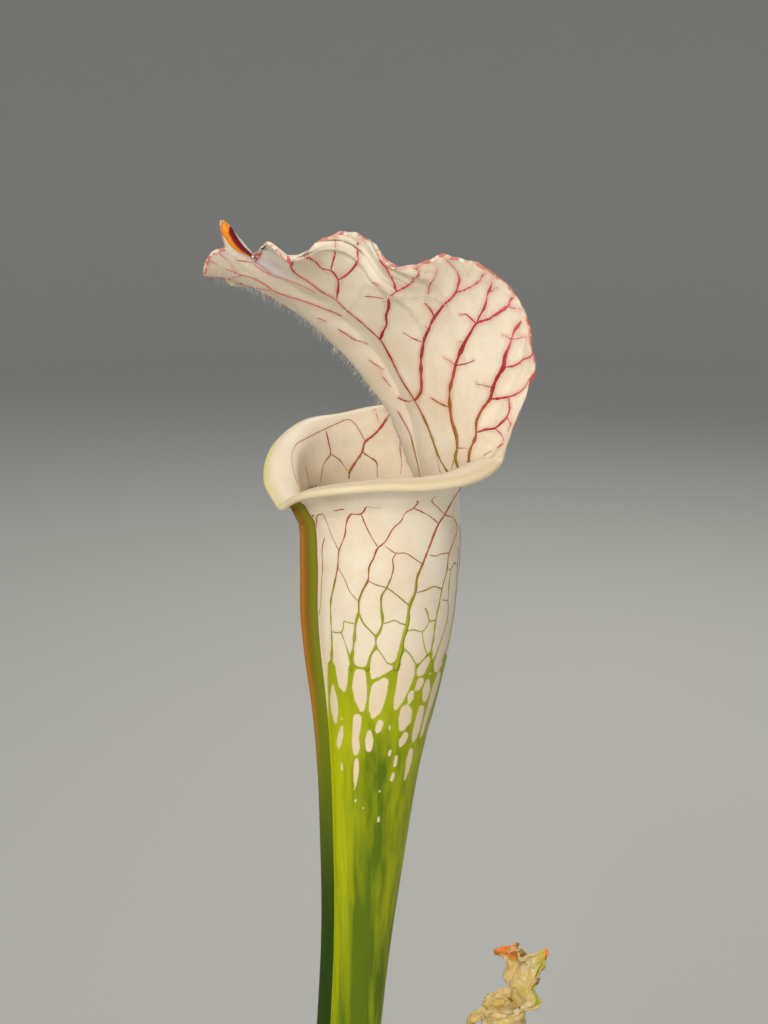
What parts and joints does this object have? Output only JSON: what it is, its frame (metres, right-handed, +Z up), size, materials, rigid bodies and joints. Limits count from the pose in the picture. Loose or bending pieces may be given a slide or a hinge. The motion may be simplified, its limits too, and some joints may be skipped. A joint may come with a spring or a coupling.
{
  "type": "potted white trumpet pitcher plant",
  "caption": "Trumpet pitcher plant in a plain round pot: a tall hollow pitcher leaf with a rolled lip and a waved white hood with red veins, a short crumpled pitcher and low flat leaves.",
  "frame": {"origin": "centre of the pot's flat underside, where it meets the surface it stands on", "axes": "+Z up along the plant; the tall pitcher's mouth opens towards -X and a little towards -Y, the side the picture was taken from"},
  "size_m": [0.13, 0.13, 0.4791],
  "materials": {
    "pot": "plain moulded matte plastic, faint turning lines, slightly scuffed rim",
    "soil": "moist crumbly peat with white grains and moss",
    "rhizome": "brown scaly rhizome with old leaf bases",
    "pitcher_green": "satin leaf, yellow-green with a darker keel",
    "pitcher_white": "satin translucent white leaf with a net of red and green veins",
    "pitcher_straw": "dull withering straw-yellow leaf with olive veins and orange tips",
    "leaf_green": "satin green leaf with parallel veins"
  },
  "bodies": {
    "root": {"pot": "pot", "soil": "soil", "rhizome": "rhizome", "tall_pitcher_tube": "pitcher_green", "tall_pitcher_top": "pitcher_white", "short_pitcher": "pitcher_straw", "flat_leaf_1": "leaf_green", "flat_leaf_2": "leaf_green", "flat_leaf_3": "leaf_green"}
  },
  "joints": []
}
